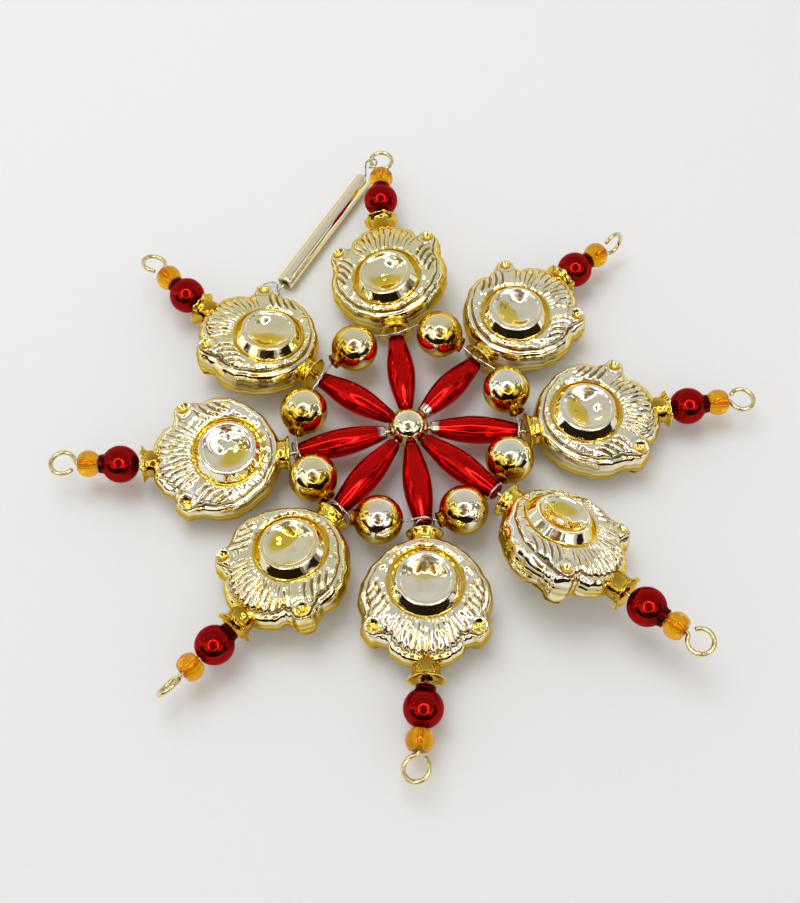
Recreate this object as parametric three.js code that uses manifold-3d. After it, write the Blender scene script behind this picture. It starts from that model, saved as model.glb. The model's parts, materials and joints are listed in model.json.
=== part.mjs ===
// An eight-armed star ornament of mirrored glass beads threaded on brass wires that meet in a hub ball.
// Millimetres, +Z up. The star lies flat, as on a table. Arm 1 points to +Y and the arms run clockwise.

import * as THREE from "three";
import { mergeVertices } from "three/addons/utils/BufferGeometryUtils.js";
import Module from "manifold-3d";

const wasm = await Module();
wasm.setup();

// Wires
const armWireRadius = 0.4;
const tieWireRadius = 0.16;
const hangerWireRadius = 0.175;
const loopRadius = 1.95;
const threadClearance = 0.2;
const wrapClearance = 0.15;
const beadGap = 0.25;

// Hub ball
const hubRadius = 3.3;
const wireStart = 2.1;
const socketPlay = 0.15;

// Oval bead
const ovalRadius = 2.3;
const ovalHubEndRadius = 1.15;
const ovalOuterEndRadius = 1.35;

// Shell bead, measured from the middle of its boss
const shellThickness = 9.7;
const shellWallHalf = 2.25;
const shellFaceInset = 1.5;
const bossRimInner = 3.85;
const bossRimOuter = 4.45;
const bossFootRadius = 5.05;
const bossFootHeight = 2.75;
const dishDepth = 0.85;
const fluteCount = 13;
const fanHalfAngle = 39;
const fluteDepth = 0.45;
const eyeAlong = 6.7;
const eyeAside = 8;
const eyeRadius = 1.45;
const eyeHeight = 3.4;
const eyeDimpleRadius = 0.95;
const eyeDimpleDepth = 1;
const innerEnd = 9.65;
const shoulderRadius = 3.1;
const shoulderLength = 1;
const waistRadius = 2.4;
const collarRadius = 3.1;
const collarLength = 1.3;
const mouthRadius = 1.9;
const mouthDepth = 1.2;

// Round red bead
const redRadius = 3;
const redNeckRadius = 1.6;
const redNeckReach = 3.35;
const redLipRadius = 1.5;

// Amber glass seed bead
const seedRadius = 2.15;
const seedLength = 3;

// Ring of gilt balls and the tie wire through them
const ringBallRadius = 3.9;
const ringNeckRadius = 1.35;
const ringMouthRadius = 1;
const ringMouthDepth = 1;
const tieOverhang = 0.35;
const tiePitch = 0.6;
const wrapStep = 36;

// Hanger: an eye round the loop of arm 1, a bugle bead on the stem and a hanging loop
const eyeBearing = 198;
const bugleRadius = 1.6;
const bugleLength = 27.7;
const bugleBearing = 240.3;
const bugleOffset = [-3.3, -0.5];
const hangingLoopRadius = 1.85;
const hangingTwist = 1.15;

// Each arm as it lies. The shell and then the tail turn from the piece before.
// Roll turns a piece about the wire.
const arms = [
  {
    bearing: 96.4, start: 3.4, oval: 13.9, slack: 0.75, turn: 0, roll: -9.6,
    neck: 14.8, room: 1.4, bend: -6.5, loopRoll: 0,
  },
  {
    bearing: 48.3, start: 3.4, oval: 13.5, slack: 0.5, turn: 0, roll: 0,
    neck: 13.1, room: 0.1, bend: -9.5, loopRoll: 80,
  },
  {
    bearing: -2.4, start: 3.6, oval: 14.5, slack: 0.9, turn: 12.9, roll: 0,
    neck: 14.2, room: 0.4, bend: -2.3, loopRoll: 0,
  },
  {
    bearing: -42.5, start: 3.6, oval: 15.3, slack: 1.7, turn: -1.8, roll: -27,
    neck: 14.4, room: 0.4, bend: 6, loopRoll: 10,
  },
  {
    bearing: -82.5, start: 3.4, oval: 14.3, slack: 1.3, turn: -7.5, roll: 0,
    neck: 14.4, room: 0.7, bend: -7, loopRoll: 15,
  },
  {
    bearing: -126.5, start: 3.75, oval: 15.25, slack: 0.7, turn: -0.5, roll: 7.4,
    neck: 14.2, room: 0.4, bend: -7, loopRoll: 60,
  },
  {
    bearing: -164.7, start: 3.75, oval: 14.95, slack: 0.8, turn: -9.9, roll: -9.2,
    neck: 14, room: 0.4, bend: -5.9, loopRoll: 0,
  },
  {
    bearing: 148, start: 3.4, oval: 13.5, slack: 1.3, turn: -2, roll: 8.7,
    neck: 14.4, room: 0.6, bend: -12.8, loopRoll: 20,
  },
];
const redNeckInward = [false, false, false, false, true, true, false, false];

// Each ring ball follows the arm of the same place in the list. Side 1 puts its neck towards the next arm.
const ringBalls = [
  { reach: 17.8, bearing: 72.8, height: 2, side: 1, neck: 0.4, yaw: -14 },
  { reach: 17.45, bearing: 22, height: 1.2, side: 1, neck: 0.7, yaw: -3 },
  { reach: 17.42, bearing: -21.75, height: 1, side: 1, neck: 0.1, yaw: -2 },
  { reach: 17.85, bearing: -61.2, height: 1.2, side: 1, neck: 0.5, yaw: -4 },
  { reach: 17.95, bearing: -105.3, height: 1.2, side: 1, neck: 0.5, yaw: 10 },
  { reach: 18.05, bearing: -146.6, height: 1.3, side: -1, neck: 0.4, yaw: -1 },
  { reach: 17.25, bearing: 172, height: 1.2, side: -1, neck: 0.3, yaw: -7 },
  { reach: 17.3, bearing: 121.4, height: 1.2, side: -1, neck: 0.6, yaw: 7 },
];

// Colours
const gilt = { color: 0xe8d9a0, roughness: 0.12, metalness: 1 };
const red = { color: 0xa80a0e, roughness: 0.15, metalness: 0.5 };
const amber = { color: 0xd89a1c, roughness: 0.08, metalness: 0, transparent: true, opacity: 0.75 };
const brass = { color: 0xd8c27a, roughness: 0.22, metalness: 1 };
const silver = { color: 0xdcdad4, roughness: 0.2, metalness: 1 };
const paleGlass = { color: 0xefe2bb, roughness: 0.06, metalness: 0.3 };

const ovalSides = 9;
const ballSides = 9;
const seedSides = 7;
const wireSides = 5;
const tieSides = 4;
const eyeSides = 6;
const neckSides = 6;
const boreSides = 6;
const bossSides = 14;
const { degToRad, lerp, smoothstep } = THREE.MathUtils;

// A closed geometry as a solid that can be cut and joined, and back.
function solid(geometry) {
  const bare = geometry.clone();
  bare.deleteAttribute("normal");
  bare.deleteAttribute("uv");
  const merged = mergeVertices(bare, 1e-4);
  const mesh = new wasm.Mesh({
    numProp: 3,
    vertProperties: merged.attributes.position.array,
    triVerts: new Uint32Array(merged.index.array),
  });
  return new wasm.Manifold(mesh);
}

function surface(body) {
  const mesh = body.getMesh();
  const geometry = new THREE.BufferGeometry();
  geometry.setAttribute("position", new THREE.BufferAttribute(mesh.vertProperties, 3));
  geometry.setIndex(new THREE.BufferAttribute(mesh.triVerts, 1));
  geometry.computeVertexNormals();
  return geometry;
}

// A body turned about +X from points of [distance along, radius].
function turned(points, sides) {
  const profile = points.map(([along, radius]) => new THREE.Vector2(radius, along));
  return new THREE.LatheGeometry(profile, sides).rotateZ(-Math.PI / 2);
}

// Points of a ball's outline about +X, from one distance along to another.
function ballArc(radius, from, to, count) {
  const first = Math.acos(from / radius);
  const last = Math.acos(to / radius);
  return Array.from({ length: count + 1 }, (_, i) => {
    const angle = lerp(first, last, i / count);
    return [radius * Math.cos(angle), radius * Math.sin(angle)];
  });
}

function along(radius, offset) {
  return Math.sqrt(radius ** 2 - offset ** 2);
}

// A path through chosen stations, so that an extruded wire keeps each bend where it is.
class Stations extends THREE.Curve {
  constructor(points) {
    super();
    this.points = points;
  }
  station(u) {
    return Math.round(u * (this.points.length - 1));
  }
  getSpacedPoints() {
    return this.points;
  }
  getPointAt(u, target = new THREE.Vector3()) {
    return target.copy(this.points[this.station(u)]);
  }
  getTangentAt(u, target = new THREE.Vector3()) {
    const i = this.station(u);
    const here = this.points[i];
    const before = this.points[i - 1] ?? here;
    const after = this.points[i + 1] ?? here;
    const arriving = here.clone().sub(before).normalize();
    const leaving = after.clone().sub(here).normalize();
    return target.addVectors(arriving, leaving).normalize();
  }
}

function wire(points, radius, sides) {
  const corners = Array.from({ length: sides }, (_, i) => {
    const angle = (2 * Math.PI * i) / sides;
    return new THREE.Vector2(radius * Math.cos(angle), radius * Math.sin(angle));
  });
  const steps = points.length - 1;
  return new THREE.ExtrudeGeometry(new THREE.Shape(corners), { steps, extrudePath: new Stations(points) });
}

// Oval bead: slim bare end at the hub, fullest at mid length, cut flat at both ends.
function ovalProfile(length, share) {
  const end = lerp(ovalHubEndRadius, ovalOuterEndRadius, share);
  const mean = (ovalHubEndRadius + ovalOuterEndRadius) / 2;
  return end + (ovalRadius - mean) * Math.sin(Math.PI * share) ** 1.2;
}

function ovalBead(length) {
  const shares = [0, 0.14, 0.3, 0.5, 0.7, 0.86, 1];
  const bore = armWireRadius + threadClearance;
  const outside = shares.map((share) => [share * length, ovalProfile(length, share)]);
  return turned([[0, bore], ...outside, [length, bore], [0, bore]], ovalSides);
}

// Round red bead with its short blown neck on the +X side.
function redBead() {
  const bore = armWireRadius + threadClearance;
  const arc = ballArc(redRadius, -along(redRadius, bore), along(redRadius, redNeckRadius), 5);
  const lip = [
    [redNeckReach, redLipRadius],
    [redNeckReach, bore],
  ];
  return turned([...arc, ...lip, arc[0]], ballSides);
}

function seedBead() {
  const bore = armWireRadius + threadClearance;
  const half = seedLength / 2;
  const arc = ballArc(seedRadius, -half, half, 3);
  return turned([[-half, bore], ...arc, [half, bore], [-half, bore]], seedSides);
}

// Ring ball: a plain hole on the -X side and a flared open neck on the +X side.
function ringBead(neck) {
  const bore = tieWireRadius + threadClearance;
  const first = -along(ringBallRadius, bore);
  const arc = ballArc(ringBallRadius, first, along(ringBallRadius, ringNeckRadius), 6);
  const end = ringBallRadius + neck;
  const lip = [
    [end, ringNeckRadius],
    [end, ringMouthRadius],
    [end - ringMouthDepth, bore],
  ];
  return turned([...arc, ...lip, arc[0]], ballSides);
}

// Outline radius of the shell bead by angle from its outer neck: fan, eye lobe, leaf lobe, plain crescent.
const shellOutline = [
  [0, 12.5],
  [14, 12.3],
  [26, 11.8],
  [34, 10.8],
  [40, 10.9],
  [48, 11.7],
  [57, 11.5],
  [65, 10.4],
  [77, 10.45],
  [90, 10],
  [105, 9.3],
  [125, 8.7],
  [150, 8.35],
  [180, 8.3],
];

function outlineRadius(angle) {
  const turn = Math.abs(angle);
  const next = Math.max(1, shellOutline.findIndex(([at]) => at >= turn));
  const [fromAngle, fromRadius] = shellOutline[next - 1];
  const [toAngle, toRadius] = shellOutline[next];
  return lerp(fromRadius, toRadius, smoothstep(turn, fromAngle, toAngle));
}

// Flutes run in the fan between the two eye lobes: 1 on a crest, -1 in a valley and 0 outside the fan.
function flute(angle) {
  if (Math.abs(angle) > fanHalfAngle) return 0;
  return Math.cos((Math.PI * fluteCount * angle) / fanHalfAngle);
}

function faceHeight(angle) {
  const lobes = lerp(2.9, 3.2, smoothstep(Math.abs(angle), fanHalfAngle, fanHalfAngle + 20));
  return lobes + (fluteDepth / 2) * flute(angle);
}

function ringAt(angles, radiusOf, heightOf) {
  return angles.map((angle) => {
    const radius = radiusOf(angle);
    const turn = degToRad(angle);
    return { angle, point: [radius * Math.cos(turn), radius * Math.sin(turn), heightOf(angle)] };
  });
}

function evenAngles(count) {
  return Array.from({ length: count }, (_, i) => -180 + (360 * i) / count);
}

// Triangles between two rings with different numbers of points, matched by angle.
function stitch(inner, outer) {
  const faces = [];
  const angleOf = (ring, i) => ring[i % ring.length].angle + 360 * Math.floor(i / ring.length);
  const pointOf = (ring, i) => ring[i % ring.length].point;
  let i = 0;
  let j = 0;
  while (i < inner.length || j < outer.length) {
    const innerNext = i < inner.length && angleOf(inner, i + 1) <= angleOf(outer, j + 1);
    const stepInner = j >= outer.length || innerNext;
    const third = stepInner ? pointOf(inner, i + 1) : pointOf(outer, j + 1);
    faces.push([pointOf(inner, i), pointOf(outer, j), third]);
    if (stepInner) i += 1;
    else j += 1;
  }
  return faces;
}

// Both moulded halves of the shell bead's body, mirrored about the mould seam.
function shellBody() {
  const half = shellThickness / 2;
  const fanStep = fanHalfAngle / fluteCount;
  const fanAngles = Array.from({ length: 2 * fluteCount + 1 }, (_, i) => (i - fluteCount) * fanStep);
  const sideAngles = [46, 54, 64, 77, 90, 107, 130, 155];
  const mirrored = sideAngles.map((angle) => -angle).reverse();
  const angles = [-180, ...mirrored, ...fanAngles, ...sideAngles];
  const boss = evenAngles(bossSides);
  const scallop = (angle) => outlineRadius(angle) + 0.12 * flute(angle);
  const rings = [
    ringAt(boss, () => bossRimInner, () => half),
    ringAt(boss, () => bossRimOuter, () => half),
    ringAt(boss, () => bossFootRadius, () => bossFootHeight),
    ringAt(angles, (angle) => scallop(angle) - shellFaceInset, faceHeight),
    ringAt(angles, scallop, () => shellWallHalf),
  ];
  const centre = [0, 0, half - dishDepth];
  const dish = rings[0].map(({ point }, i) => [centre, point, rings[0][(i + 1) % boss.length].point]);
  const top = [...dish, ...rings.slice(1).flatMap((ring, i) => stitch(rings[i], ring))];
  const flip = ([x, y, z]) => [x, y, -z];
  const bottom = top.map(([a, b, c]) => [flip(a), flip(c), flip(b)]);
  const edge = rings[rings.length - 1];
  const wall = edge.flatMap(({ point }, i) => {
    const next = edge[(i + 1) % edge.length].point;
    return [
      [flip(point), flip(next), point],
      [point, flip(next), next],
    ];
  });
  const positions = new Float32Array([...top, ...bottom, ...wall].flat(2));
  const geometry = new THREE.BufferGeometry();
  geometry.setAttribute("position", new THREE.BufferAttribute(positions, 3));
  return solid(geometry);
}

// A raised eye and the dimple in it, at one place on one face.
function eyeTools(side, face) {
  const place = (geometry) => {
    const upright = geometry.rotateY(face > 0 ? -Math.PI / 2 : Math.PI / 2);
    return solid(upright.translate(eyeAlong, side * eyeAside, 0));
  };
  const lobe = [
    [shellWallHalf / 2, 0],
    [shellWallHalf / 2, eyeRadius],
    [eyeHeight, eyeRadius],
    [eyeHeight, 0],
  ];
  const dimple = [
    [eyeHeight - eyeDimpleDepth, 0],
    [eyeHeight + 0.1, eyeDimpleRadius],
    [eyeHeight + 0.1, 0],
  ];
  return { lobe: place(turned(lobe, eyeSides)), dimple: place(turned(dimple, eyeSides)) };
}

function shellBead(neckEnd) {
  const bore = armWireRadius + threadClearance;
  const innerNeck = [
    [-innerEnd, 0],
    [-innerEnd, shoulderRadius],
    [-innerEnd + shoulderLength, waistRadius],
    [-innerEnd + 2 * shoulderLength, waistRadius],
    [-innerEnd + 2 * shoulderLength, 0],
  ];
  const root = outlineRadius(0) - 1.5;
  const outerNeck = [
    [root, 0],
    [root, waistRadius - 0.2],
    [neckEnd - collarLength, waistRadius],
    [neckEnd - 0.3, collarRadius],
    [neckEnd, collarRadius],
    [neckEnd, 0],
  ];
  const hole = [
    [-innerEnd - 1, 0],
    [-innerEnd - 1, bore],
    [neckEnd - mouthDepth, bore],
    [neckEnd, mouthRadius],
    [neckEnd + 1, mouthRadius],
    [neckEnd + 1, 0],
  ];
  const eyes = [-1, 1].flatMap((side) => [eyeTools(side, 1), eyeTools(side, -1)]);
  let body = shellBody();
  body = body.add(solid(turned(innerNeck, neckSides))).add(solid(turned(outerNeck, neckSides)));
  for (const { lobe } of eyes) body = body.add(lobe);
  for (const { dimple } of eyes) body = body.subtract(dimple);
  return surface(body.subtract(solid(turned(hole, boreSides))));
}

// How far the lowest point of a shell lies under its wire once it has rolled.
function restDepth(geometry, roll) {
  const rolled = geometry.clone().rotateX(degToRad(roll));
  rolled.computeBoundingBox();
  return -rolled.boundingBox.min.z;
}

function named(name, geometry, look) {
  const mesh = new THREE.Mesh(geometry, new THREE.MeshStandardMaterial(look));
  mesh.name = name;
  return mesh;
}

const star = new THREE.Group();
const shells = arms.map((arm) => shellBead(arm.neck));
const restDepths = shells.map((geometry, i) => restDepth(geometry, arms[i].roll));
const hubHeight = Math.min(...restDepths);

// Places along an arm, from the hub and then from each bend.
function layout(i) {
  const arm = arms[i];
  const ovalEnd = arm.start + arm.oval;
  const knee = ovalEnd + arm.slack;
  const boss = beadGap + innerEnd;
  const tail = boss + arm.neck + arm.room / 2;
  const before = redNeckInward[i] ? redNeckReach : redRadius;
  const after = redNeckInward[i] ? redRadius : redNeckReach;
  const ball = arm.room / 2 + before;
  const seed = ball + after + beadGap + seedLength / 2;
  const loop = seed + seedLength / 2 + beadGap + loopRadius + armWireRadius;
  const pitch = Math.asin((restDepths[i] - hubHeight) / (knee + boss));
  return { ovalEnd, knee, boss, tail, ball, seed, loop, pitch };
}

const layouts = arms.map((_, i) => layout(i));

// The loop at an arm's end: the wire leaves the axis and runs most of the way round.
function loopStations(centre) {
  const neckIn = [
    [centre - loopRadius - 0.6, 0],
    [centre - loopRadius - 0.2, -0.07],
    [centre - loopRadius + 0.04, -0.3],
  ];
  const turns = Array.from({ length: 10 }, (_, i) => {
    const angle = degToRad(lerp(200, 505, i / 9));
    return [centre + loopRadius * Math.cos(angle), loopRadius * Math.sin(angle)];
  });
  return [...neckIn, ...turns];
}

const armGroups = [];
const tailGroups = [];
arms.forEach((arm, i) => {
  const place = layouts[i];
  const number = i + 1;
  const armGroup = new THREE.Group();
  armGroup.rotation.set(0, -place.pitch, degToRad(arm.bearing), "ZYX");
  star.add(armGroup);
  armGroups.push(armGroup);

  const oval = named("oval_bead_" + number, ovalBead(arm.oval), red);
  oval.position.x = arm.start;
  armGroup.add(oval);

  const shellGroup = new THREE.Group();
  shellGroup.position.x = place.knee;
  shellGroup.rotation.z = degToRad(arm.turn);
  armGroup.add(shellGroup);
  const shell = named("shell_bead_" + number, shells[i], gilt);
  shell.position.x = place.boss;
  shell.rotation.x = degToRad(arm.roll);
  shellGroup.add(shell);

  const tailGroup = new THREE.Group();
  tailGroup.position.x = place.tail;
  tailGroup.rotation.z = degToRad(arm.bend);
  shellGroup.add(tailGroup);
  tailGroups.push(tailGroup);
  const ball = named("red_ball_" + number, redBead(), red);
  ball.position.x = place.ball;
  ball.rotation.z = redNeckInward[i] ? Math.PI : 0;
  tailGroup.add(ball);
  const seed = named("amber_bead_" + number, seedBead(), amber);
  seed.position.x = place.seed;
  tailGroup.add(seed);

  star.updateMatrixWorld(true);
  const inArm = (group, x, y, z) => armGroup.worldToLocal(group.localToWorld(new THREE.Vector3(x, y, z)));
  const loopRoll = degToRad(arm.loopRoll);
  const loop = loopStations(place.loop).map(([x, y]) => {
    return inArm(tailGroup, x, y * Math.cos(loopRoll), y * Math.sin(loopRoll));
  });
  const bend = 0.3;
  const stations = [
    new THREE.Vector3(wireStart, 0, 0),
    new THREE.Vector3(place.knee - bend, 0, 0),
    inArm(shellGroup, bend, 0, 0),
    inArm(shellGroup, place.tail - bend, 0, 0),
    inArm(tailGroup, bend, 0, 0),
    ...loop,
  ];
  armGroup.add(named("arm_wire_" + number, wire(stations, armWireRadius, wireSides), brass));
});

// Hub ball with a socket for each arm wire.
function hubBall() {
  let body = solid(new THREE.SphereGeometry(hubRadius, 11, 7));
  const socketRadius = armWireRadius + socketPlay;
  for (const armGroup of armGroups) {
    const start = wireStart - socketPlay;
    const profile = [
      [start, 0],
      [start, socketRadius],
      [hubRadius + 1, socketRadius],
      [hubRadius + 1, 0],
    ];
    body = body.subtract(solid(turned(profile, boreSides).applyMatrix4(armGroup.matrixWorld)));
  }
  return surface(body);
}
star.add(named("hub_ball", hubBall(), gilt));

// Where the tie wire goes round an oval bead: its far end, and one pitch nearer the hub.
function tiePlace(i) {
  const outer = layouts[i].ovalEnd + tieOverhang;
  return { outer, inner: outer - tiePitch };
}

function wrapRadius(i, at) {
  const share = Math.min(1, (at - tieWireRadius - arms[i].start) / arms[i].oval);
  return ovalProfile(arms[i].oval, share) + wrapClearance + tieWireRadius;
}

// Ring balls, each with its bore along the ring.
const ballMouths = ringBalls.map((ball, i) => {
  const bearing = degToRad(ball.bearing);
  const centre = new THREE.Vector3(ball.reach, 0, ball.height);
  centre.applyAxisAngle(new THREE.Vector3(0, 0, 1), bearing);
  const turn = bearing - Math.PI / 2 + degToRad(ball.yaw);
  const direction = new THREE.Vector3(Math.cos(turn), Math.sin(turn), 0);
  const mesh = named("ring_ball_" + (i + 1), ringBead(ball.neck), gilt);
  mesh.position.copy(centre);
  mesh.rotation.z = Math.atan2(ball.side * direction.y, ball.side * direction.x);
  star.add(mesh);
  const reachOf = (side) => ringBallRadius + (ball.side === side ? ball.neck : 0);
  return {
    entry: centre.clone().addScaledVector(direction, -reachOf(-1)),
    exit: centre.clone().addScaledVector(direction, reachOf(1)),
  };
});

// The tie wire's turn and a half round one oval bead, crossing over itself on top.
// Angles run about the arm from its left side, over the top.
function wrap(i, fromAngle, toAngle, entry, exit) {
  const { inner, outer } = tiePlace(i);
  const touch = (mouth, side) => {
    const local = armGroups[i].worldToLocal(mouth.clone());
    const distance = Math.hypot(local.y, local.z);
    const lean = Math.acos(Math.min(1, wrapRadius(i, inner) / distance));
    return Math.atan2(local.z, local.y) + side * lean;
  };
  const first = entry ? touch(entry, 1) : degToRad(fromAngle);
  const last = exit ? touch(exit, -1) + 2 * Math.PI : degToRad(toAngle);
  const steps = Math.max(3, Math.round((last - first) / degToRad(wrapStep)));
  const slope = degToRad(100);
  const lift = 2 * tieWireRadius + wrapClearance / 2;
  return Array.from({ length: steps + 1 }, (_, k) => {
    const angle = lerp(first, last, k / steps);
    const out = entry ? smoothstep(angle, first, first + slope) : 1;
    const back = exit ? smoothstep(angle, last - slope, last) : 0;
    const at = lerp(inner, outer, out - back);
    const raised = smoothstep(angle, 2 * Math.PI, 2 * Math.PI + degToRad(60));
    const radius = wrapRadius(i, at) + lift * raised;
    const local = new THREE.Vector3(at, radius * Math.cos(angle), radius * Math.sin(angle));
    return armGroups[i].localToWorld(local);
  });
}

const tieStations = [];
arms.forEach((_, i) => {
  const entry = i > 0 ? ballMouths[i - 1].exit : undefined;
  tieStations.push(...wrap(i, 215, 0, entry, ballMouths[i].entry));
  tieStations.push(ballMouths[i].entry, ballMouths[i].exit);
});
tieStations.push(...wrap(0, 0, 170, ballMouths[arms.length - 1].exit, undefined));
star.add(named("tie_wire", wire(tieStations, tieWireRadius, tieSides), silver));

// Hanger, in the star's frame.
const topLoop = tailGroups[0].localToWorld(new THREE.Vector3(layouts[0].loop, 0, 0));
const table = -hubHeight;
const eyeMid = armWireRadius + hangerWireRadius + 0.5;
const eyeTurn = degToRad(eyeBearing);
const outward = new THREE.Vector3(Math.cos(eyeTurn), Math.sin(eyeTurn), 0);
const eyeCentre = topLoop.clone().addScaledVector(outward, loopRadius);
const bugleTurn = degToRad(bugleBearing);
const bugleAxis = new THREE.Vector3(Math.cos(bugleTurn), Math.sin(bugleTurn), 0);
const bugleStart = new THREE.Vector3(topLoop.x, topLoop.y, table + bugleRadius);
bugleStart.x += bugleOffset[0];
bugleStart.y += bugleOffset[1];
const bugleEnd = bugleStart.clone().addScaledVector(bugleAxis, bugleLength);

const bugleBore = hangerWireRadius + threadClearance;
const bugleProfile = [
  [0, bugleBore],
  [0, bugleRadius],
  [bugleLength, bugleRadius],
  [bugleLength, bugleBore],
  [0, bugleBore],
];
const bugle = named("bugle_bead", turned(bugleProfile, 12), paleGlass);
bugle.position.copy(bugleStart);
bugle.rotation.z = bugleTurn;
star.add(bugle);

const eyeStations = Array.from({ length: 11 }, (_, i) => {
  const angle = degToRad(lerp(295, 0, i / 10));
  const station = eyeCentre.clone().addScaledVector(outward, eyeMid * Math.cos(angle));
  station.z += eyeMid * Math.sin(angle);
  return station;
});
const eyeFoot = eyeStations[eyeStations.length - 1];
const drop = eyeFoot.z - bugleStart.z;
const stemStations = [
  [-0.05, 0.35, 0.6 * drop],
  [-0.1, 0.5, 0.25 * drop],
].map(([x, y, z]) => new THREE.Vector3(eyeFoot.x + x, eyeFoot.y + y, bugleStart.z + z));
stemStations.push(bugleStart.clone().addScaledVector(bugleAxis, -0.75).setZ(bugleStart.z + 0.35));
stemStations.push(bugleStart.clone().addScaledVector(bugleAxis, -0.35));
stemStations.push(bugleEnd.clone().addScaledVector(bugleAxis, 0.35));

// The hanging loop lies beyond the bugle's end, turned towards the left.
const hangingTurn = bugleTurn - degToRad(42);
const hangingAxis = new THREE.Vector3(Math.cos(hangingTurn), Math.sin(hangingTurn), 0);
const hangingSide = new THREE.Vector3(-hangingAxis.y, hangingAxis.x, 0);
const hangingCentre = bugleEnd.clone().addScaledVector(hangingAxis, hangingTwist + hangingLoopRadius);
const hangingStations = Array.from({ length: 12 }, (_, i) => {
  const angle = degToRad(lerp(195, 515, i / 11));
  const station = hangingCentre.clone();
  station.addScaledVector(hangingAxis, hangingLoopRadius * Math.cos(angle));
  station.addScaledVector(hangingSide, hangingLoopRadius * Math.sin(angle));
  return station.setZ(table + lerp(bugleRadius, 2 * hangerWireRadius, Math.min(1, (i + 2) / 6)));
});
const hanger = [...eyeStations, ...stemStations, ...hangingStations];
star.add(named("hanger_wire", wire(hanger, hangerWireRadius, wireSides), silver));

// The whole ornament stands on z = 0 with its origin under the middle of its outline.
star.updateMatrixWorld(true);
const box = new THREE.Box3().setFromObject(star, true);
const middle = box.getCenter(new THREE.Vector3());
star.position.set(-middle.x, -middle.y, -box.min.z);
const ornament = new THREE.Group();
ornament.add(star);

export default ornament;
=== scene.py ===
import json
import math

import bpy
import numpy as np
from mathutils import Matrix, Vector


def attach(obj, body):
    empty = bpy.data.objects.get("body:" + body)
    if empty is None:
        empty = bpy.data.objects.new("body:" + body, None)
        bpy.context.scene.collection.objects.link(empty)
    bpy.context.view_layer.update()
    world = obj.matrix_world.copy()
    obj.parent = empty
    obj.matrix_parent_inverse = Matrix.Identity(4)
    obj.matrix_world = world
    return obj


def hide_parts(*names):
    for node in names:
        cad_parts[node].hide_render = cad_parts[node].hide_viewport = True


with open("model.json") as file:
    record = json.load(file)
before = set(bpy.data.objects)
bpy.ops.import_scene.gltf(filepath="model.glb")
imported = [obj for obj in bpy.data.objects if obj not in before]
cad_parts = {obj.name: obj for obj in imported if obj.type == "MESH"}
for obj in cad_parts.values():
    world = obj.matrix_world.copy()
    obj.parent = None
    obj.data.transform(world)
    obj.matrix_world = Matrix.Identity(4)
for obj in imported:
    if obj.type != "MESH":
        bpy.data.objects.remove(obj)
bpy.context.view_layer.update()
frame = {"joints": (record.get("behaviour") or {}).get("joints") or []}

# ---- Where the beads are threaded ----
# Every bead is held only by the wire through it, so the pin it turns on gives its place and its direction.
# A star like this has eight arm wires that start in the hub ball.

MM = 0.001
arms = range(1, 9)
first_oval_gap = 3.4
pins = {joint["child"]: joint for joint in frame["joints"]}


def seat(bead):
    """Where a bead's own origin lies on its wire, in millimetres, and which way the wire runs."""
    pin = pins[bead]
    return Vector(pin["pos_m"]) / MM, Vector(pin["axis"]).normalized()


oval_place, oval_line = seat("oval_bead_2")
hub_centre = oval_place - first_oval_gap * oval_line


def arm_frame(number, bead):
    """Millimetre frame of a bead: X along its wire, Z the upper side of its arm."""
    _, arm_line = seat(f"oval_bead_{number}")
    up = (Vector((0, 0, 1)) - arm_line.z * arm_line).normalized()
    place, line = seat(bead)
    turned_frame = Matrix((line, up.cross(line), up)).transposed().to_4x4()
    return Matrix.Translation(place) @ turned_frame


# ---- Camera ----
# The picture was taken by hand from in front of the table, about 20 cm away and 61 degrees above it.
# It is level from side to side, and the star nearly fills it.

scene = bpy.context.scene
camera_place = Vector((-1.37, -103.75, 177.29))
camera_elevation = 60.76

camera_data = bpy.data.cameras.new("camera")
camera_data.sensor_fit = "HORIZONTAL"
camera_data.sensor_width = 36
camera_data.lens = 56.62
camera_data.clip_start = 0.01
camera_data.clip_end = 20
camera = bpy.data.objects.new("camera", camera_data)
scene.collection.objects.link(camera)
camera.location = (hub_centre + camera_place) * MM
camera.rotation_euler = (math.radians(90 - camera_elevation), 0, 0)
scene.camera = camera

# ---- Table and soft light ----
# The star lies on a plain near-white table inside a tent of white cloth, with a ring lamp round the camera.
# The tent is open towards the front, and the dark room there gives the mirrored glass its dark lines.

table_size = 1.6
table_drop = 0.00005
table_mesh = bpy.data.meshes.new("table")
corner = table_size / 2
table_mesh.from_pydata(
    [(-corner, -corner, 0), (corner, -corner, 0), (corner, corner, 0), (-corner, corner, 0)],
    [],
    [(0, 1, 2, 3)],
)
table = bpy.data.objects.new("table", table_mesh)
scene.collection.objects.link(table)
table.location.z = -table_drop

paper = bpy.data.materials.new("table_white")
paper.use_nodes = True
paper_shader = paper.node_tree.nodes["Principled BSDF"]
paper_shader.inputs["Base Color"].default_value = (0.818, 0.827, 0.832, 1)
paper_shader.inputs["Roughness"].default_value = 0.75
table_mesh.materials.append(paper)


def fill(tree, socket, value):
    """Links a socket to another one, or sets its number or colour."""
    if isinstance(value, bpy.types.NodeSocket):
        tree.links.new(value, socket)
    else:
        socket.default_value = value


def wire_up(tree, kind, settings=None, **sockets):
    """A shader node with its settings, and its sockets filled by name, or by number as in i0."""
    node = tree.nodes.new(kind)
    for name, value in (settings or {}).items():
        setattr(node, name, value)
    for name, value in sockets.items():
        key = int(name[1:]) if name[0] == "i" and name[1:].isdigit() else name.replace("_", " ")
        fill(tree, node.inputs[key], value)
    return node


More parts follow.
